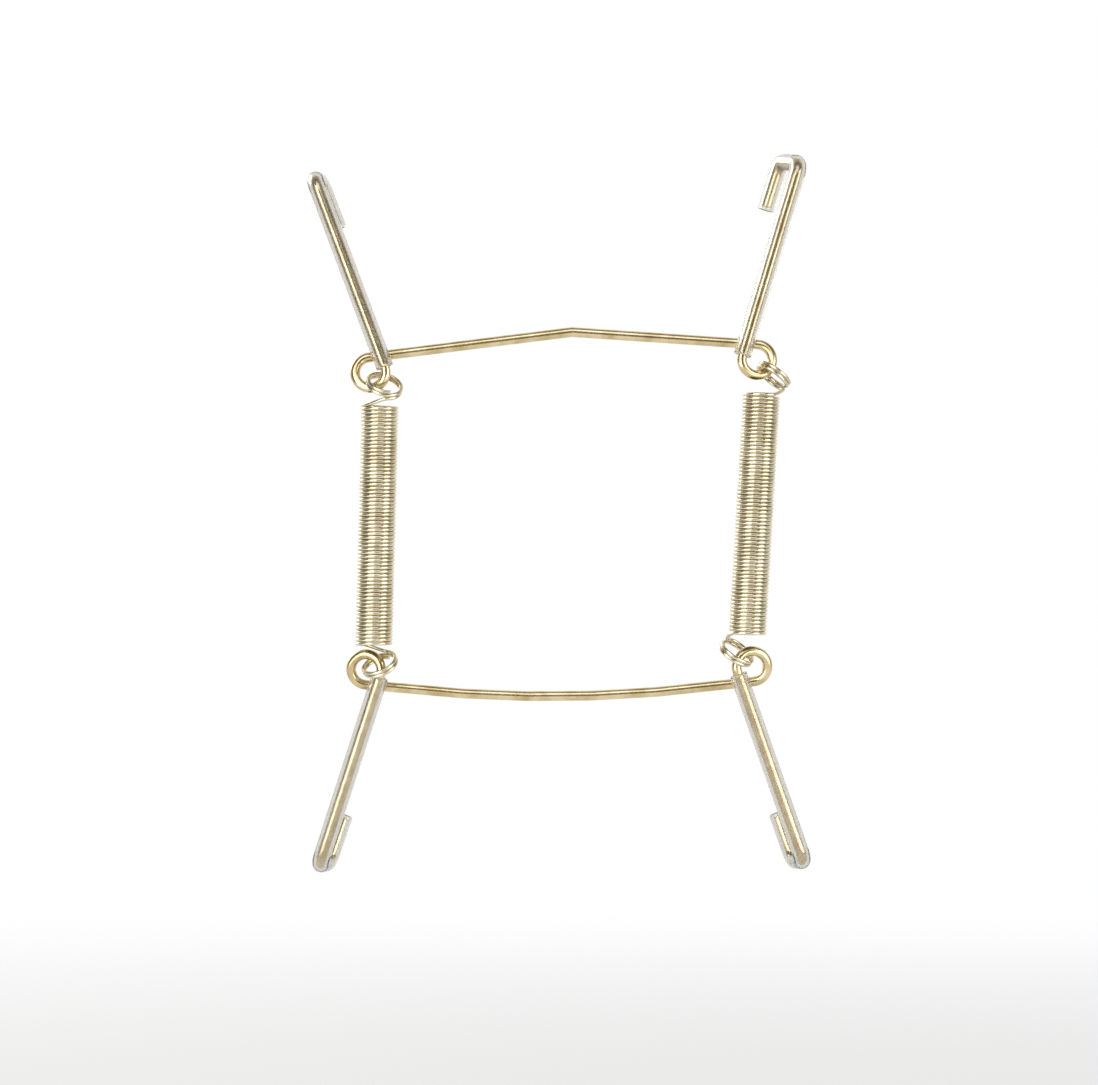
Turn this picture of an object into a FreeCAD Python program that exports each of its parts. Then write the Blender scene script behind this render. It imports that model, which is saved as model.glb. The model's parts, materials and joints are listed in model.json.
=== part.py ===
"""Wire plate hanger: two bent wires with hooks, joined by two extension springs.

Seen from the wall side: X to the right, Y towards the plate, Z up, in millimetres.
The origin is the underside of the bend in the upper wire, where the nail bears.
"""
import FreeCAD, Part
import math
import os
from FreeCAD import Placement, Rotation, Vector

doc = FreeCAD.newDocument("wire_plate_hanger")
sheet = doc.addObject("Spreadsheet::Sheet", "Sizes")

Y_AXIS = Vector(0, 1, 0)
Z_AXIS = Vector(0, 0, 1)

# Driving dimensions: millimetres, degrees, counts and shares
SIZES = {
    # Bent wire
    "wire_diameter": 1.5,
    "wire_flats": 12,
    "bend_facet": 20.0,
    "eye_radius": 2.35,
    "eye_spacing": 58.5,
    "eye_step": 2.65,
    "arm_length": 30.8,
    "arm_lean": 18.8,
    "arm_slope": 7.5,
    # Hook round the plate's rim
    "hook_depth": 8.0,
    "hook_bend": 2.0,
    "lip_length": 7.5,
    "lip_flare": 18.0,
    "upper_left_hook_turn": 4.0,
    "upper_right_hook_turn": 20.0,
    "lower_left_hook_turn": 6.0,
    "lower_right_hook_turn": 10.0,
    # Cross spans: a bend to hang by above, a gentle bow below
    "apex_rise": 5.15,
    "apex_offset": 1.4,
    "apex_bend": 4.0,
    "bow_rise": 5.2,
    "bow_offset": 0.0,
    "bow_bend": 200.0,
    # Clear sleeves
    "sleeve_clearance": 0.15,
    "sleeve_wall": 0.42,
    "upper_sleeve_start": 0.0,
    "lower_sleeve_start": 0.5,
    "sleeve_overhang": 0.5,
    # Extension springs
    "spring_wire": 0.57,
    "spring_flats": 6,
    "coil_diameter": 5.7,
    "coil_length": 36.8,
    "coil_ridges": 32,
    "coil_flats": 16,
    "loop_radius": 2.6,
    "loop_tilt": 53.0,
    "loop_lift": 0.7,
    "loop_kick": 0.9,
    "loop_phase": 125.0,
    "turn_spacing": 0.02,
    # How the pieces hang in each other
    "link_clearance": 0.1,
    "upper_roll": 1.9,
    "left_lean": 1.5,
    "left_turn": -68.0,
    "right_turn": 20.0,
    "upper_left_seat": 0.80,
    "upper_left_pull": 0.68,
    "upper_right_seat": 0.46,
    "upper_right_pull": 0.75,
    "lower_left_seat": 0.86,
    "lower_left_pull": -0.1,
    "lower_right_seat": 0.79,
    "lower_right_pull": 0.6,
}
for row, (alias, number) in enumerate(SIZES.items(), start=1):
    sheet.set(f"A{row}", alias)
    sheet.set(f"B{row}", str(number))
    sheet.setAlias(f"B{row}", alias)
doc.recompute()

EYE_CORNERS = 4
LOOP_CORNERS = 5
LOOP_TURNS = 2
LEAD_ANGLE = math.radians(75)
LEAST_KINKS = 4
BEND_ROOM = 0.49
LEAN_STEPS = 4


def size(alias):
    """A driving dimension, read from the sheet."""
    return float(sheet.get(alias))


def angle(alias):
    """A driving angle, in radians."""
    return math.radians(size(alias))


def half_turn(before, corner, after):
    """Half the angle that a path turns through at a corner."""
    return (corner - before).getAngle(after - corner) / 2


def largest_bend(before, corner, after):
    """The largest bend radius that the two runs beside a corner leave room for."""
    run = min((corner - before).Length, (after - corner).Length)
    return BEND_ROOM * run / math.tan(half_turn(before, corner, after))


def bend_kinks(before, corner, after, bend):
    """The small equal turns that make a bend of a given radius, on the outside of its arc."""
    half = half_turn(before, corner, after)
    count = max(LEAST_KINKS, math.ceil(2 * half / angle("bend_facet")))
    ahead = (corner - before).normalize()
    inward = ((before - corner).normalize() + (after - corner).normalize()).normalize()
    centre = corner + inward * bend / math.cos(half)
    outward = (corner - ahead * bend * math.tan(half) - centre).normalize()
    reach = bend / math.cos(half / count)
    turns = [2 * half * (index + 0.5) / count for index in range(count)]
    return [centre + outward * reach * math.cos(turn) + ahead * reach * math.sin(turn) for turn in turns]


def bent_path(name, points, bends):
    """A path of straight runs with a bend at each inner point; a bend of None is the largest."""
    corners = [points[0]]
    for index, bend in enumerate(bends, start=1):
        around = points[index - 1:index + 2]
        corners += bend_kinks(*around, largest_bend(*around) if bend is None else bend)
    path = doc.addObject("Part::Feature", f"{name}_path")
    path.Shape = Part.makePolygon(corners + points[-1:])
    return path


def swept(name, path, flats, radius):
    """A bar of even flats swept along a path; flats and radius are sheet expressions."""
    first = path.Shape.OrderedEdges[0]
    start = first.valueAt(first.FirstParameter)
    heading = first.tangentAt(first.FirstParameter)
    section = doc.addObject("Part::RegularPolygon", f"{name}_section")
    section.setExpression("Polygon", flats)
    section.setExpression("Circumradius", radius)
    section.Placement = Placement(start, Rotation(Z_AXIS, heading))
    bar = doc.addObject("Part::Sweep", f"{name}_bar")
    bar.Sections = [section]
    bar.Spine = path
    bar.Solid = True
    bar.Frenet = False
    bar.Transition = "Right corner"
    return bar


class BentWire:
    """One hanger wire in its own frame: middle of its eyes at the origin, spans at Y 0, hooks at hand Z."""

    def __init__(self, level, hand, middle):
        self.level = level
        self.name = f"{level}_wire"
        self.hand = hand
        self.rise = size(f"{middle}_rise")
        self.offset = size(f"{middle}_offset")
        self.bend = size(f"{middle}_bend")
        self.placement = Placement()

    def mirrored(self, side, point):
        """A point of the upper right quarter, carried to this wire's hand and side."""
        return Vector(side * point.x, point.y, self.hand * point.z)

    def winding(self, side):
        """The angle at which the span meets the eye and the angle that the eye winds through."""
        across = size("eye_spacing") / 2 - side * self.offset
        reach = math.hypot(across, self.rise)
        heading = math.asin(size("eye_radius") / reach) - math.atan2(self.rise, across)
        first = math.pi / 2 + heading
        return first, first + math.pi + angle("arm_lean")

    def eye_point(self, side, share, radius, step):
        """A point round the eye, at a share of its winding from the span to the arm."""
        first, wound = self.winding(side)
        at = first - share * wound
        centre = size("eye_spacing") / 2
        point = Vector(centre + radius * math.cos(at), -step * size("eye_step"), radius * math.sin(at))
        return self.mirrored(side, point)

    def eye_corners(self, side):
        """The corners of the run round the eye, stepping from the span's layer to the arm's."""
        half = self.winding(side)[1] / EYE_CORNERS / 2
        outer = size("eye_radius") / math.cos(half)
        shares = [(index + 0.5) / EYE_CORNERS for index in range(EYE_CORNERS)]
        steps = [index / (EYE_CORNERS - 1) for index in range(EYE_CORNERS)]
        return [self.eye_point(side, share, outer, step) for share, step in zip(shares, steps)]

    def arm_points(self, side):
        """Where the arm leaves its eye, its hook's corners and tip, and the arm's and lip's ways."""
        lean = angle("arm_lean")
        arm = Vector(math.sin(lean), math.tan(angle("arm_slope")), math.cos(lean)).normalize()
        inward = Vector(-math.cos(lean), 0, math.sin(lean))
        turn = angle(f"{self.level}_{'left' if side < 0 else 'right'}_hook_turn")
        over = Y_AXIS * math.cos(turn) + inward * math.sin(turn)
        lip = Y_AXIS * math.sin(angle("lip_flare")) - arm * math.cos(angle("lip_flare"))
        arm, over, lip = [self.mirrored(side, way) for way in (arm, over, lip)]
        half = self.winding(side)[1] / EYE_CORNERS / 2
        leaving = self.eye_corners(side)[-1] + arm * size("eye_radius") * math.tan(half)
        heel = leaving + arm * size("arm_length")
        crown = heel + over * size("hook_depth")
        tip = crown + lip * size("lip_length")
        return leaving, heel, crown, tip, arm, lip

    def half_points(self, side):
        """The corners from the first one of the eye to the tip of the hook."""
        leaving, heel, crown, tip, arm, lip = self.arm_points(side)
        return self.eye_corners(side) + [heel, crown, tip]

    def build(self):
        """The whole wire, bent from one length: hook, arm, eye, span, eye, arm, hook."""
        middle = Vector(self.offset, 0, self.hand * self.rise)
        half_bends = [None] * EYE_CORNERS + [size("hook_bend")] * 2
        points = self.half_points(-1)[::-1] + [middle] + self.half_points(1)
        bends = half_bends[::-1] + [self.bend] + half_bends
        path = bent_path(self.name, points, bends)
        return swept(self.name, path, "Sizes.wire_flats", "Sizes.wire_diameter / 2")

    def build_sleeve(self, side, name):
        """The clear tube over one arm and its hook, a little longer than the wire at the tip."""
        leaving, heel, crown, tip, arm, lip = self.arm_points(side)
        start = leaving + arm * size(f"{self.level}_sleeve_start")
        end = tip + lip * size("sleeve_overhang")
        path = bent_path(name, [start, heel, crown, end], [size("hook_bend")] * 2)
        bore_radius = "Sizes.wire_diameter / 2 + Sizes.sleeve_clearance"
        outside = swept(f"{name}_outside", path, "Sizes.wire_flats", f"{bore_radius} + Sizes.sleeve_wall")
        bore = swept(f"{name}_bore", path, "Sizes.wire_flats", bore_radius)
        tube = doc.addObject("Part::Cut", f"{name}_tube")
        tube.Base = outside
        tube.Tool = bore
        return tube


class Spring:
    """One extension spring in its own frame: coil along Z about the origin, upper loop joined at +X."""

    def __init__(self, name, turn):
        self.name = name
        self.turn = turn
        self.placement = Placement()
        self.mean = (size("coil_diameter") - size("spring_wire")) / 2
        self.pitch = size("spring_wire") + size("turn_spacing")
        tilt = angle("loop_tilt")
        self.rise = Vector(-math.sin(tilt), 0, math.cos(tilt))
        self.stack = Vector(math.cos(tilt), 0, math.sin(tilt))
        half_phase = angle("loop_phase") / 2
        self.flip = Rotation(Vector(math.cos(half_phase), math.sin(half_phase), 0), 180)
        self.joined = Vector(self.mean + size("loop_kick"), 0, size("coil_length") / 2 + size("loop_lift"))
        self.loop_centre = self.joined + self.rise * size("loop_radius") + self.stack * self.pitch

    def lean(self, degrees):
        """Turn the spring about its own axis, then lean its top to the right."""
        self.placement.Rotation = Rotation(Y_AXIS, degrees) * Rotation(Z_AXIS, self.turn)

    def rise_of(self, upper):
        """The way out of the coil along a loop's own plane, as the spring hangs."""
        return self.placement.Rotation.multVec(self.rise if upper else self.flip.multVec(self.rise))

    def centre_of(self, upper):
        """The middle of a double loop, from the spring's own origin, as the spring hangs."""
        centre = self.loop_centre if upper else self.flip.multVec(self.loop_centre)
        return self.placement.Rotation.multVec(centre)

    def loop_points(self):
        """The lead off the coil's last turn and the corners of the two turns of the upper loop."""
        mean = self.mean
        top = size("coil_length") / 2
        start = Vector(math.cos(LEAD_ANGLE), -math.sin(LEAD_ANGLE), 0) * mean
        start.z = top - size("spring_wire") / 2
        lead = Vector(self.joined.x, -mean * math.tan(LEAD_ANGLE / 2), top + size("loop_lift") / 2)
        centre = self.loop_centre - self.stack * self.pitch
        radius = size("loop_radius")
        points = [start, lead]
        for index in range(LOOP_CORNERS * LOOP_TURNS):
            turns = (index + 0.5) / LOOP_CORNERS
            at = 2 * math.pi * turns
            outer = radius / math.cos(math.pi / LOOP_CORNERS)
            ring = Y_AXIS * math.sin(at) - self.rise * math.cos(at)
            points.append(centre + ring * outer + self.stack * self.pitch * turns)
        points.append(centre - self.rise * radius + self.stack * self.pitch * LOOP_TURNS)
        return points

    def coil_ring(self, radius, height):
        """The corners of the coil's flats at a height, closed."""
        flats = int(size("coil_flats"))
        ways = [2 * math.pi * index / flats for index in range(flats + 1)]
        return [Vector(radius * math.cos(way), radius * math.sin(way), height) for way in ways]

    def build_coil(self):
        """The close-wound coil as a tube of flats, each ridge standing for two touching turns."""
        outer = size("coil_diameter") / 2
        inner = outer - size("spring_wire")
        steps = 2 * int(size("coil_ridges"))
        foot = -size("coil_length") / 2
        rise = size("coil_length") / steps
        rings = []
        for step in range(steps + 1):
            rings.append(self.coil_ring(outer if step % 2 else self.mean, foot + rise * step))
        rings += [self.coil_ring(inner, -foot), self.coil_ring(inner, foot), rings[0]]
        faces = []
        for below, above in zip(rings, rings[1:]):
            for corners in zip(below, below[1:], above[1:], above):
                faces.append(Part.Face(Part.makePolygon(corners + corners[:1])))
        coil = doc.addObject("Part::Feature", f"{self.name}_coil")
        coil.Shape = Part.makeSolid(Part.makeShell(faces))
        return coil

    def build(self):
        """Coil and both double end loops, wound from one wire."""
        pieces = [self.build_coil()]
        points = self.loop_points()
        flipped = [self.flip.multVec(point) for point in points]
        for end, corners in (("upper", points), ("lower", flipped)):
            loop = f"{self.name}_{end}_loop"
            path = bent_path(loop, corners, [None] * (len(corners) - 2))
            pieces.append(swept(loop, path, "Sizes.spring_flats", "Sizes.spring_wire / 2"))
        spring = doc.addObject("Part::MultiFuse", f"{self.name}_wound")
        spring.Shapes = pieces
        return spring


def loop_reach():
    """How far a loop can be pulled out from the middle of an eye's wire before it bears on it."""
    return size("loop_radius") - (size("spring_wire") + size("wire_diameter")) / 2 - size("link_clearance")


def seat_point(wire, side, corner):
    """The point of an eye's wire on which a loop hangs, in that wire's own frame."""
    share = size(f"{corner}_seat")
    return wire.eye_point(side, share, size("eye_radius"), share)


def hang_spring(spring, wire, side, corner):
    """Put a spring's upper loop on an eye of the upper wire."""
    seat = wire.placement.multVec(seat_point(wire, side, corner))
    pulled = spring.rise_of(True) * loop_reach() * size(f"{corner}_pull")
    spring.placement.Base = seat - pulled - spring.centre_of(True)


def lower_seat(spring, corner):
    """Where the wire of a lower eye passes through a spring's lower loop."""
    pulled = spring.rise_of(False) * loop_reach() * size(f"{corner}_pull")
    return spring.placement.Base + spring.centre_of(False) + pulled


upper_wire = BentWire("upper", 1, "apex")
lower_wire = BentWire("lower", -1, "bow")
left_spring = Spring("left_spring", size("left_turn"))
right_spring = Spring("right_spring", size("right_turn"))

# The upper wire hangs by the underside of its bend
upper_turn = Rotation(Y_AXIS, -size("upper_roll"))
nail_rest = Vector(upper_wire.offset, 0, upper_wire.rise - size("wire_diameter") / 2)
upper_wire.placement = Placement(upper_turn.multVec(nail_rest) * -1, upper_turn)

# The springs hang from its eyes, and the right one leans as far as the lower wire's eyes ask
left_spring.lean(size("left_lean"))
hang_spring(left_spring, upper_wire, -1, "upper_left")
lower_left = lower_seat(left_spring, "lower_left")
wire_left = seat_point(lower_wire, -1, "lower_left")
wire_right = seat_point(lower_wire, 1, "lower_right")
right_lean = size("left_lean")
for step in range(LEAN_STEPS):
    right_spring.lean(right_lean)
    hang_spring(right_spring, upper_wire, 1, "upper_right")
    lower_right = lower_seat(right_spring, "lower_right")
    spare = (lower_right - lower_left).Length - (wire_right - wire_left).Length
    right_lean += math.degrees(math.asin(spare / (2 * right_spring.loop_centre.z)))

# The lower wire hangs in both lower loops
lower_turn = Rotation(wire_right - wire_left, lower_right - lower_left)
lower_middle = lower_turn.multVec((wire_left + wire_right) * 0.5)
lower_wire.placement = Placement((lower_left + lower_right) * 0.5 - lower_middle, lower_turn)

parts = {}
for piece in (upper_wire, lower_wire, left_spring, right_spring):
    parts[piece.name] = (piece.build(), piece.placement)
for wire, level in ((upper_wire, "upper"), (lower_wire, "lower")):
    for side, hand in ((-1, "left"), (1, "right")):
        sleeve = f"{level}_{hand}_sleeve"
        parts[sleeve] = (wire.build_sleeve(side, sleeve), wire.placement)
doc.recompute()

for name, (made, placement) in parts.items():
    made.Label = name
    made.Placement = placement
doc.recompute()

for item in doc.Objects:
    if "Invalid" in item.State or "Error" in item.State:
        raise RuntimeError(f"{item.Name} did not build: {item.State}")
for name, (made, placement) in parts.items():
    if made.Shape.isNull() or not made.Shape.isValid() or len(made.Shape.Solids) != 1:
        raise RuntimeError(f"{name} is not one sound solid")

os.makedirs("parts", exist_ok=True)
for name, (made, placement) in parts.items():
    made.Shape.exportStep(f"parts/{name}.step")
    print(name, round(made.Shape.Volume, 2))
print("right lean", round(right_lean, 2), "lower wire", lower_wire.placement)
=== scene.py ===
"""Finish of the wire plate hanger: bent brass-plated wires, wound springs and clear sleeves."""
import bmesh
import bpy
import json
import math
from mathutils import Matrix, Vector


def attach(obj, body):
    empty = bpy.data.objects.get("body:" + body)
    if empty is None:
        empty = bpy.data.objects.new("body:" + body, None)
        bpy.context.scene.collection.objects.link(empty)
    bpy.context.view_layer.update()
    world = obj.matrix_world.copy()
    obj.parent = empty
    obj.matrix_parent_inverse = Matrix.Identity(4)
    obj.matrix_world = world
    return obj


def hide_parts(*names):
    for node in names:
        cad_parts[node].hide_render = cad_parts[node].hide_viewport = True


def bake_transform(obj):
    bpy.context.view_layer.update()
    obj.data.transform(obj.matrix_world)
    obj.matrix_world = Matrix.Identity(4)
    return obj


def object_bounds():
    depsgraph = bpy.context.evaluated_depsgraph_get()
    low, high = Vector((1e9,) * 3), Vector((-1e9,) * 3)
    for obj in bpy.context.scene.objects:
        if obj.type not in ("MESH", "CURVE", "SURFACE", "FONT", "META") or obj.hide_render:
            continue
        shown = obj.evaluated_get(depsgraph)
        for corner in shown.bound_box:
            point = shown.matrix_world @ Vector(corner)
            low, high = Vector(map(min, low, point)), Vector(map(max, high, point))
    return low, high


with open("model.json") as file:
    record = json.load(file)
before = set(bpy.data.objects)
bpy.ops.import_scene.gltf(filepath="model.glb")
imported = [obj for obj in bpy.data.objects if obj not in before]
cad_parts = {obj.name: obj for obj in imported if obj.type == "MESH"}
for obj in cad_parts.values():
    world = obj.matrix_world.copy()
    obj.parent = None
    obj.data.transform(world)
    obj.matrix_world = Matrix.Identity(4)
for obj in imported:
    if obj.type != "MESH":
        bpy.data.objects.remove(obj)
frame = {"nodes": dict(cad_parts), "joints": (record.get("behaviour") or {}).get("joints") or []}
cad_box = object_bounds()
MM = 0.001
FULL_TURN = 2 * math.pi

# Wires and sleeves: the frame's own bends, rounded
WIRE_DIAMETER = 1.5 * MM
SLEEVE_DIAMETER = 2.64 * MM
SECTION_FLATS = 12
ROUNDING_LEVELS = 2
RUN_STEP = 1.0 * MM
SAME_CORNER = 0.001 * MM
SAME_FLAT = math.radians(1)
ANY_SHAPE = math.radians(180)
SQUARE_EDGE = math.radians(60)
CUT_END_CREASE = 0.8

# Springs: one length of wire, wound as loop, lead, coil, lead and loop
COIL_DIAMETER = 5.7 * MM
COIL_LENGTH = 36.8 * MM
SPRING_WIRE = 0.57 * MM
WIRE_PLAY = 0.02 * MM
COIL_TURNS = 63
LOOP_RADIUS = 2.6 * MM
LOOP_TILT = math.radians(53)
LOOP_LIFT = 0.7 * MM
LOOP_KICK = 0.9 * MM
LOOP_PHASE = math.radians(125)
LOOP_TURNS = 2
LEAD_ANGLE = math.radians(75)
POINTS_PER_TURN = 24
LEAD_POINTS = 10
SPRING_SIDES = 4

# The coil's middle line: its radius, height, first angle and the whole angle that it winds through
COIL_RADIUS = (COIL_DIAMETER - SPRING_WIRE) / 2
WOUND_HEIGHT = COIL_LENGTH - SPRING_WIRE
FIRST_ANGLE = LOOP_PHASE + LEAD_ANGLE
WOUND_ANGLE = (-LEAD_ANGLE - FIRST_ANGLE) % FULL_TURN + FULL_TURN * COIL_TURNS

# Where the springs hang: the coil's middle in millimetres, its lean and its turn in degrees
SPRINGS = {
    "left_spring": {"middle": (-29.51, -1.24, -28.51), "lean": 1.5, "turn": -68.0},
    "right_spring": {"middle": (27.58, -1.52, -26.82), "lean": 3.37, "turn": 20.0},
}

# Brass plating: tones where it is thin and where it is full, and pattern sizes in millimetres
WIRE_TONES = ("#c4ae7e", "#e6d5ac")
SPRING_TONES = ("#cbbf9f", "#e8dfc6")
CLOUD_SIZE = 2.5
CLOUD_STOPS = (0.3, 0.62)
MARK_SIZE = 0.2
MARK_DEPTH = 0.02 * MM
MARK_RELIEF = 0.12
PLATING_ROUGHNESS = (0.14, 0.28)

# Soft clear vinyl: how clear it is, its ripples and the tint of its wall
VINYL_COLOUR = "#f7f5f0"
VINYL_IOR = 1.53
VINYL_CLEARNESS = 0.96
VINYL_ROUGHNESS = (0.03, 0.12)
RIPPLE_SIZE = 1.6
RIPPLE_DEPTH = 0.05 * MM
RIPPLE_RELIEF = 0.15
WALL_TINT = "#b4aea0"
WALL_DENSITY = 280.0

# Sheared ends: dark and pale tones of the torn grain
STEEL_END_TONES = ("#7c7870", "#a9a59c")
VINYL_END_TONES = ("#d9d5ca", "#efece4")
VINYL_END_CLEARNESS = 0.2
GRAIN_SIZE = 0.15
GRAIN_STOPS = (0.35, 0.65)
GRAIN_DEPTH = 0.03 * MM
GRAIN_RELIEF = 0.3
TORN_ROUGHNESS = 0.55

# The photograph's frame: where the nail's rest is in it and how large a millimetre is
IMAGE_WIDTH = 1098
IMAGE_HEIGHT = 1085
PIXELS_PER_MM = 6.6
NAIL_REST_PIXEL = (572, 337)
CAMERA_DISTANCE = 0.75
SENSOR_WIDTH = 36.0
CLIP_START = 10 * MM

# Floor: a disc whose edge fades out, from one distance to another
FLOOR_COLOUR = "#f4f3f1"
FLOOR_ROOM = 8 * MM
FLOOR_RADIUS = 0.9
FLOOR_SEGMENTS = 96
FLOOR_FADE = (0.3, 0.85)
FLOOR_GLOW = 0.6

# Studio: white to look at, and in the metal dim on the camera's side and white round the back
WHITE = "#ffffff"
STUDIO_COLOUR = "#fffdf8"
STUDIO_SIDES = (-0.25, 0.8)
STUDIO_LEVELS = (0.15, 1.0)
FILL_LEVEL = 0.3
NOT_YET_MIRRORED = 0.5

# Lamps: place and aim, width and height in metres, and power in watts
HANGER_MIDDLE = (0, 0, -30 * MM)
SOFT_BOXES = {
    "key_lamp": ((-0.4, -0.58, 0.14), HANGER_MIDDLE, 0.45, 0.62, 2.8),
    "side_lamp": ((0.62, -0.38, 0.08), HANGER_MIDDLE, 0.46, 0.6, 2.4),
    "overhead_lamp": ((0.0, -0.42, 0.45), HANGER_MIDDLE, 0.5, 0.4, 1.0),
    "back_lamp": ((-0.45, 0.55, 0.25), HANGER_MIDDLE, 0.35, 0.35, 1.2),
}
LOW_STRIPS = {
    "low_left_lamp": ((-0.22, -0.23, -0.105), (-0.035, 0, -0.085), 0.34, 0.085, 0.19),
    "low_right_lamp": ((0.24, -0.21, -0.105), (0.035, 0, -0.085), 0.34, 0.085, 0.19),
}


def linear(hex_colour):
    """An sRGB hex colour as linear RGBA."""
    channels = [int(hex_colour[index:index + 2], 16) / 255 for index in (1, 3, 5)]
    return [c / 12.92 if c <= 0.04045 else ((c + 0.055) / 1.055) ** 2.4 for c in channels] + [1.0]


def add_node(tree, kind, settings=None, **sockets):
    """A shader node with its settings. Inputs, by name or _number, get a value or another node's output."""
    node = tree.nodes.new(kind)
    for name, value in (settings or {}).items():
        setattr(node, name, value)
    for name, value in sockets.items():
        socket = node.inputs[int(name[1:]) if name[0] == "_" else name.replace("_", " ")]
        if isinstance(value, bpy.types.NodeSocket):
            tree.links.new(value, socket)
        else:
            socket.default_value = value
    return node


def new_material(name):
    """An empty node material and its tree."""
    material = bpy.data.materials.new(name)
    material.use_nodes = True
    material.node_tree.nodes.clear()
    return material, material.node_tree


def per_mm(size):
    """The scale of a noise whose features are about a size in millimetres."""
    return 1 / (size * MM)


def plated_wire(name, tones):
    """Brass plating on drawn steel wire: warm metal, clouded a little where the plating is thin."""
    material, tree = new_material(name)
    place = add_node(tree, "ShaderNodeTexCoord").outputs["Object"]
    cloud = add_node(tree, "ShaderNodeTexNoise", Vector=place, Scale=per_mm(CLOUD_SIZE), Detail=3.0)
    tone = add_node(tree, "ShaderNodeValToRGB", Fac=cloud.outputs["Fac"])
    for stop, position, colour in zip(tone.color_ramp.elements, CLOUD_STOPS, tones):
        stop.position = position
        stop.color = linear(colour)
    # Drawing marks are finer than a pixel, so they are drawn at a fifth of a millimetre
    marks = add_node(tree, "ShaderNodeTexNoise", Vector=place, Scale=per_mm(MARK_SIZE), Detail=2.0)
    dulling = add_node(tree, "ShaderNodeMapRange", Value=marks.outputs["Fac"],
                       To_Min=PLATING_ROUGHNESS[0], To_Max=PLATING_ROUGHNESS[1])
    relief = add_node(tree, "ShaderNodeBump", Height=marks.outputs["Fac"], Strength=MARK_RELIEF,
                      Distance=MARK_DEPTH)
    metal = add_node(tree, "ShaderNodeBsdfPrincipled", Base_Color=tone.outputs["Color"], Metallic=1.0,
                     Roughness=dulling.outputs["Result"], Normal=relief.outputs["Normal"])
    add_node(tree, "ShaderNodeOutputMaterial", Surface=metal.outputs["BSDF"])
    return material


def clear_vinyl(name):
    """Extruded soft vinyl tube: clear, glossy, faintly hazed and rippled along its length."""
    material, tree = new_material(name)
    place = add_node(tree, "ShaderNodeTexCoord").outputs["Object"]
    ripple = add_node(tree, "ShaderNodeTexNoise", Vector=place, Scale=per_mm(RIPPLE_SIZE), Detail=2.0)
    haze = add_node(tree, "ShaderNodeMapRange", Value=ripple.outputs["Fac"],
                    To_Min=VINYL_ROUGHNESS[0], To_Max=VINYL_ROUGHNESS[1])
    relief = add_node(tree, "ShaderNodeBump", Height=ripple.outputs["Fac"], Strength=RIPPLE_RELIEF,
                      Distance=RIPPLE_DEPTH)
    skin = add_node(tree, "ShaderNodeBsdfPrincipled", Base_Color=linear(VINYL_COLOUR), IOR=VINYL_IOR,
                    Transmission_Weight=VINYL_CLEARNESS, Roughness=haze.outputs["Result"],
                    Normal=relief.outputs["Normal"])
    # A long way through the wall, as beside the bore, looks greyer than a short one
    tint = add_node(tree, "ShaderNodeVolumeAbsorption", Color=linear(WALL_TINT), Density=WALL_DENSITY)
    add_node(tree, "ShaderNodeOutputMaterial", Surface=skin.outputs["BSDF"], Volume=tint.outputs["Volume"])
    return material


def sheared_face(name, tones, metallic, clearness):
    """The face that a blade leaves: torn and matt, so it scatters what the skin beside it mirrors."""
    material, tree = new_material(name)
    place = add_node(tree, "ShaderNodeTexCoord").outputs["Object"]
    grain = add_node(tree, "ShaderNodeTexNoise", Vector=place, Scale=per_mm(GRAIN_SIZE), Detail=3.0)
    tone = add_node(tree, "ShaderNodeValToRGB", Fac=grain.outputs["Fac"])
    for stop, position, colour in zip(tone.color_ramp.elements, GRAIN_STOPS, tones):
        stop.position = position
        stop.color = linear(colour)
    relief = add_node(tree, "ShaderNodeBump", Height=grain.outputs["Fac"], Strength=GRAIN_RELIEF,
                      Distance=GRAIN_DEPTH)
    torn = add_node(tree, "ShaderNodeBsdfPrincipled", Base_Color=tone.outputs["Color"], Metallic=metallic,
                    Transmission_Weight=clearness, Roughness=TORN_ROUGHNESS, Normal=relief.outputs["Normal"])
    add_node(tree, "ShaderNodeOutputMaterial", Surface=torn.outputs["BSDF"])
    return material


def new_object(name, mesh, *materials):
    """A smooth mesh object in the scene, with its materials."""
    piece = bpy.data.objects.new(name, mesh)
    bpy.context.scene.collection.objects.link(piece)
    for material in materials:
        mesh.materials.append(material)
    mesh.polygons.foreach_set("use_smooth", [True] * len(mesh.polygons))
    return piece


def edge_ring(first):
    """The edges beside each other across four-sided faces, from a first one on, in the bar's order."""
    ring = {first}
    waiting = [first]
    while waiting:
        sides = [corner for corner in waiting.pop().link_loops if len(corner.face.verts) == 4]
        across = {corner.link_loop_next.link_loop_next.edge for corner in sides}
        waiting.extend(across - ring)
        ring |= across
    return sorted(ring, key=lambda edge: edge.index)


def cut_runs(bar):
    """Cut a bar's straight runs across in short steps, so that the rounding keeps to them."""
    bar.edges.index_update()
    counted = set()
    runs = []
    for edge in bar.edges:
        if edge in counted:
            continue
        ring = edge_ring(edge)
        counted.update(ring)
        mean = sum(side.calc_length() for side in ring) / len(ring)
        if mean > RUN_STEP:
            runs.append((ring, math.ceil(mean / RUN_STEP) - 1))
    for ring, cuts in runs:
        bmesh.ops.subdivide_edges(bar, edges=ring, cuts=cuts, use_grid_fill=True)


def keep_cut_ends(bar):
    """Crease the square edges at a bar's cut ends, and give the cut faces the second material."""
    creases = bar.edges.layers.float.new("crease_edge")
    square = [edge for edge in bar.edges if edge.calc_face_angle(0) > SQUARE_EDGE]
    for edge in square:
        edge[creases] = CUT_END_CREASE
    rim = {corner for edge in square for corner in edge.verts}
    for face in bar.faces:
        face.material_index = int(rim.issuperset(face.verts))


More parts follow.
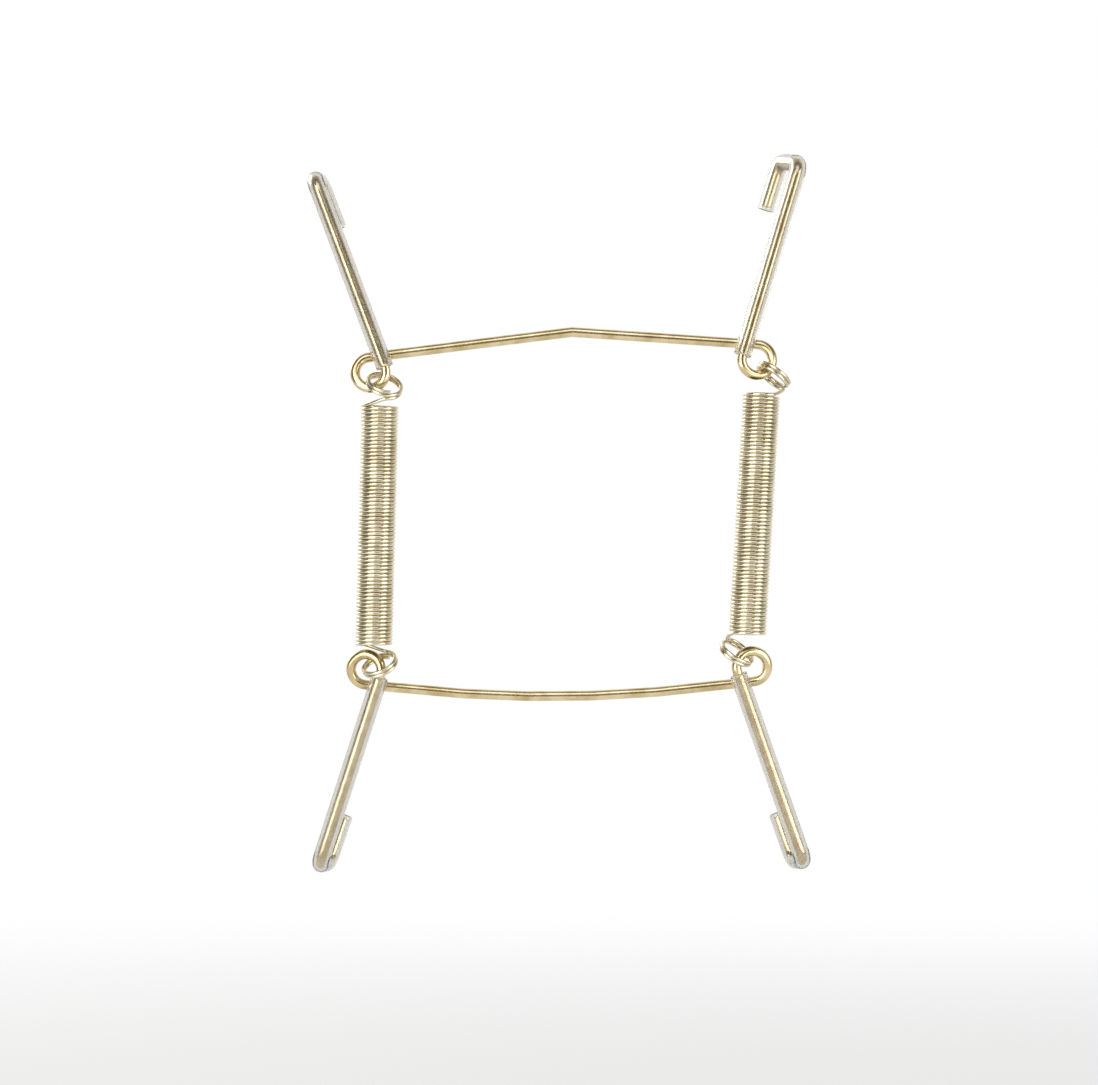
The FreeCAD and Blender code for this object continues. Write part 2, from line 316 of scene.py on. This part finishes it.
def rounded_bar(node, diameter, body, skin, cut):
    """A bar of flats from the frame, made round and smooth along its bends."""
    bar = bmesh.new()
    bar.from_mesh(frame["nodes"][node].data)
    bmesh.ops.remove_doubles(bar, verts=bar.verts, dist=SAME_CORNER)
    bmesh.ops.join_triangles(bar, faces=bar.faces, angle_face_threshold=SAME_FLAT,
                             angle_shape_threshold=ANY_SHAPE)
    cut_runs(bar)
    keep_cut_ends(bar)
    mesh = bpy.data.meshes.new(f"{node}_round")
    bar.to_mesh(mesh)
    bar.free()
    piece = new_object(f"{node}_round", mesh, skin, cut)
    rounding = piece.modifiers.new("round", "SUBSURF")
    rounding.levels = ROUNDING_LEVELS
    rounding.render_levels = ROUNDING_LEVELS
    # Rounding draws the flats in, and this brings the section back to its diameter
    drawn_in = 1 - (2 + math.cos(FULL_TURN / SECTION_FLATS)) / 3
    filling = piece.modifiers.new("full", "DISPLACE")
    filling.strength = diameter / 2 * drawn_in
    filling.mid_level = 0.0
    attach(piece, body)
    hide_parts(node)


def lead_points(start, leaving, end, arriving):
    """A smooth run between two points, given the way that it leaves the first and arrives at the second."""
    points = []
    for index in range(1, LEAD_POINTS):
        t = index / LEAD_POINTS
        along = start * (2 * t ** 3 - 3 * t ** 2 + 1) + end * (3 * t ** 2 - 2 * t ** 3)
        points.append(along + leaving * (t ** 3 - 2 * t ** 2 + t) + arriving * (t ** 3 - t ** 2))
    return points


def loop_end_points():
    """The wire's middle line from the coil's top into the upper double loop, in the spring's own frame."""
    top = COIL_LENGTH / 2
    rise = Vector((-math.sin(LOOP_TILT), 0, math.cos(LOOP_TILT)))
    stack = Vector((math.cos(LOOP_TILT), 0, math.sin(LOOP_TILT)))
    across = Vector((0, 1, 0))
    out = Vector((math.cos(LEAD_ANGLE), -math.sin(LEAD_ANGLE), 0))
    start = out * COIL_RADIUS + Vector((0, 0, top - SPRING_WIRE / 2))
    leaving = Vector((math.sin(LEAD_ANGLE), math.cos(LEAD_ANGLE), 0)) * COIL_RADIUS
    joined = Vector((COIL_RADIUS + LOOP_KICK, 0, top + LOOP_LIFT))
    points = lead_points(start, leaving, joined, across * COIL_RADIUS)
    pitch = SPRING_WIRE + WIRE_PLAY
    centre = joined + rise * LOOP_RADIUS
    for index in range(LOOP_TURNS * POINTS_PER_TURN + 1):
        turns = index / POINTS_PER_TURN
        at = FULL_TURN * turns
        ring = across * math.sin(at) - rise * math.cos(at)
        points.append(centre + ring * LOOP_RADIUS + stack * pitch * turns)
    return points


def coil_points():
    """The close-wound turns, from the bottom of the coil to its top."""
    steps = round(WOUND_ANGLE / FULL_TURN * POINTS_PER_TURN)
    points = []
    for index in range(steps + 1):
        at = FIRST_ANGLE + WOUND_ANGLE * index / steps
        height = WOUND_HEIGHT * (index / steps - 0.5)
        points.append(Vector((COIL_RADIUS * math.cos(at), COIL_RADIUS * math.sin(at), height)))
    return points


def spring_points():
    """The whole wire of a spring, from the tip of its lower loop to the tip of its upper one."""
    upper = loop_end_points()
    flip_axis = Vector((math.cos(LOOP_PHASE / 2), math.sin(LOOP_PHASE / 2), 0))
    flip = Matrix.Rotation(math.pi, 3, flip_axis)
    lower = [flip @ point for point in reversed(upper)]
    return lower + coil_points() + upper


def wound_spring(node, material, middle, lean, turn):
    """An extension spring wound as one wire through its points, and hung by its middle, lean and turn."""
    points = spring_points()
    line = bpy.data.curves.new(f"{node}_line", "CURVE")
    line.dimensions = "3D"
    line.bevel_depth = (SPRING_WIRE - WIRE_PLAY) / 2
    line.bevel_resolution = SPRING_SIDES
    line.use_fill_caps = True
    wire = line.splines.new("POLY")
    wire.points.add(len(points) - 1)
    for spot, point in zip(wire.points, points):
        spot.co = (*point, 1)
    guide = bpy.data.objects.new(f"{node}_line", line)
    mesh = bpy.data.meshes.new_from_object(guide)
    mesh.name = f"{node}_wound"
    bpy.data.objects.remove(guide)
    hang = Matrix.Translation(Vector(middle) * MM) @ Matrix.Rotation(math.radians(lean), 4, "Y")
    hang = hang @ Matrix.Rotation(math.radians(turn), 4, "Z")
    mesh.transform(hang)
    piece = new_object(f"{node}_wound", mesh, material)
    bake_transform(piece)
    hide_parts(node)


def make_camera():
    """A camera square to the hanger, with the photograph's frame on the plane of the wires."""
    lens = bpy.data.cameras.new("camera")
    camera = bpy.data.objects.new("camera", lens)
    bpy.context.scene.collection.objects.link(camera)
    across = (IMAGE_WIDTH / 2 - NAIL_REST_PIXEL[0]) / PIXELS_PER_MM * MM
    up = (NAIL_REST_PIXEL[1] - IMAGE_HEIGHT / 2) / PIXELS_PER_MM * MM
    camera.location = (across, -CAMERA_DISTANCE, up)
    camera.rotation_euler = (math.pi / 2, 0, 0)
    lens.sensor_fit = "HORIZONTAL"
    lens.sensor_width = SENSOR_WIDTH
    lens.lens = SENSOR_WIDTH * CAMERA_DISTANCE / (IMAGE_WIDTH / PIXELS_PER_MM * MM)
    lens.clip_start = CLIP_START
    bpy.context.scene.camera = camera


def pale_floor(name):
    """Matt pale paint that fades out into the background."""
    material, tree = new_material(name)
    place = add_node(tree, "ShaderNodeTexCoord").outputs["Object"]
    reach = add_node(tree, "ShaderNodeVectorMath", {"operation": "LENGTH"}, _0=place)
    fade = add_node(tree, "ShaderNodeMapRange", {"interpolation_type": "SMOOTHSTEP"},
                    Value=reach.outputs["Value"], From_Min=FLOOR_FADE[0], From_Max=FLOOR_FADE[1])
    matt = add_node(tree, "ShaderNodeBsdfDiffuse", Color=linear(FLOOR_COLOUR))
    # Where it is looked at, or mirrored in the metal, the floor is nearly as white as the background
    rays = add_node(tree, "ShaderNodeLightPath")
    mirrored = add_node(tree, "ShaderNodeMath", {"operation": "MAXIMUM"}, _0=rays.outputs["Is Glossy Ray"],
                        _1=rays.outputs["Is Transmission Ray"])
    looked = add_node(tree, "ShaderNodeMath", {"operation": "MAXIMUM"}, _0=rays.outputs["Is Camera Ray"],
                      _1=mirrored.outputs["Value"])
    share = add_node(tree, "ShaderNodeMath", {"operation": "MULTIPLY"}, _0=looked.outputs["Value"],
                     _1=FLOOR_GLOW)
    glow = add_node(tree, "ShaderNodeEmission", Color=linear(WHITE), Strength=1.0)
    pale = add_node(tree, "ShaderNodeMixShader", _0=share.outputs["Value"], _1=matt.outputs["BSDF"],
                    _2=glow.outputs["Emission"])
    gone = add_node(tree, "ShaderNodeBsdfTransparent")
    both = add_node(tree, "ShaderNodeMixShader", _0=fade.outputs["Result"], _1=pale.outputs["Shader"],
                    _2=gone.outputs["BSDF"])
    add_node(tree, "ShaderNodeOutputMaterial", Surface=both.outputs["Shader"])
    return material


def make_floor():
    """A floor below the hooks, a little lower than the drawn springs let them reach."""
    stretch = next(joint for joint in frame["joints"] if joint["name"] == "spring_stretch")
    below = cad_box[0][2] - stretch["range_m"][1] - FLOOR_ROOM
    disc = bmesh.new()
    bmesh.ops.create_circle(disc, cap_ends=True, segments=FLOOR_SEGMENTS, radius=FLOOR_RADIUS)
    bmesh.ops.translate(disc, verts=disc.verts, vec=(0, 0, below))
    mesh = bpy.data.meshes.new("floor")
    disc.to_mesh(mesh)
    disc.free()
    floor = new_object("floor", mesh, pale_floor("pale_floor"))
    return floor


def make_surround():
    """The studio round the hanger: white to the eye, and graded from front to back in the metal."""
    world = bpy.data.worlds.new("studio")
    bpy.context.scene.world = world
    world.use_nodes = True
    tree = world.node_tree
    tree.nodes.clear()
    way = add_node(tree, "ShaderNodeTexCoord").outputs["Generated"]
    split = add_node(tree, "ShaderNodeSeparateXYZ", Vector=way)
    behind = add_node(tree, "ShaderNodeMapRange", {"interpolation_type": "SMOOTHSTEP"},
                      Value=split.outputs["Y"], From_Min=STUDIO_SIDES[0], From_Max=STUDIO_SIDES[1],
                      To_Min=STUDIO_LEVELS[0], To_Max=STUDIO_LEVELS[1])
    rays = add_node(tree, "ShaderNodeLightPath")
    mirrored = add_node(tree, "ShaderNodeBackground", Color=linear(STUDIO_COLOUR),
                        Strength=behind.outputs["Result"])
    seen = add_node(tree, "ShaderNodeBackground", Color=linear(WHITE), Strength=1.0)
    filling = add_node(tree, "ShaderNodeBackground", Color=linear(WHITE), Strength=FILL_LEVEL)
    # Seen straight through a sleeve the studio is white, but wire in a sleeve mirrors it as bare wire does
    straight = add_node(tree, "ShaderNodeMath", {"operation": "LESS_THAN"}, _0=rays.outputs["Glossy Depth"],
                        _1=NOT_YET_MIRRORED)
    through = add_node(tree, "ShaderNodeMath", {"operation": "MULTIPLY"}, _0=straight.outputs["Value"],
                       _1=rays.outputs["Is Transmission Ray"])
    clear = add_node(tree, "ShaderNodeMath", {"operation": "MAXIMUM"}, _0=rays.outputs["Is Camera Ray"],
                     _1=through.outputs["Value"])
    shiny = add_node(tree, "ShaderNodeMath", {"operation": "MAXIMUM"}, _0=rays.outputs["Is Glossy Ray"],
                     _1=rays.outputs["Is Transmission Ray"])
    gloss = add_node(tree, "ShaderNodeMixShader", _0=shiny.outputs["Value"],
                     _1=filling.outputs["Background"], _2=mirrored.outputs["Background"])
    whole = add_node(tree, "ShaderNodeMixShader", _0=clear.outputs["Value"], _1=gloss.outputs["Shader"],
                     _2=seen.outputs["Background"])
    add_node(tree, "ShaderNodeOutputWorld", Surface=whole.outputs["Shader"])


def add_lamp(name, place, target, width, height, power):
    """A soft box aimed at a point."""
    lamp = bpy.data.lights.new(name, "AREA")
    lamp.shape = "RECTANGLE"
    lamp.size = width
    lamp.size_y = height
    lamp.energy = power
    holder = bpy.data.objects.new(name, lamp)
    bpy.context.scene.collection.objects.link(holder)
    holder.visible_camera = False
    holder.location = place
    holder.rotation_euler = (Vector(target) - Vector(place)).to_track_quat("-Z", "Y").to_euler()
    return holder


def light_hanger(floor):
    """Four soft boxes round the hanger, and two low strips for the lower arms."""
    for name, lamp in SOFT_BOXES.items():
        add_lamp(name, *lamp)
    # The lower arms face the floor, so the strips give them their bright side, and leave the floor alone
    spared = bpy.data.collections.new("spared_by_low_lamps")
    spared.objects.link(floor)
    spared.collection_objects[0].light_linking.link_state = "EXCLUDE"
    for name, lamp in LOW_STRIPS.items():
        add_lamp(name, *lamp).light_linking.receiver_collection = spared


brass_wire = plated_wire("brass_plated_drawn_wire", WIRE_TONES)
spring_brass = plated_wire("brass_plated_spring_wire", SPRING_TONES)
vinyl = clear_vinyl("clear_vinyl_tube")
steel_end = sheared_face("sheared_steel_end", STEEL_END_TONES, metallic=1.0, clearness=0.0)
vinyl_end = sheared_face("cut_vinyl_end", VINYL_END_TONES, metallic=0.0, clearness=VINYL_END_CLEARNESS)
for level in ("upper", "lower"):
    yoke = f"{level}_yoke"
    rounded_bar(f"{level}_wire", WIRE_DIAMETER, yoke, brass_wire, steel_end)
    for side in ("left", "right"):
        rounded_bar(f"{level}_{side}_sleeve", SLEEVE_DIAMETER, yoke, vinyl, vinyl_end)
for spring, place in SPRINGS.items():
    wound_spring(spring, spring_brass, **place)
make_camera()
pale_ground = make_floor()
make_surround()
light_hanger(pale_ground)
bpy.context.scene.view_settings.view_transform = "Standard"
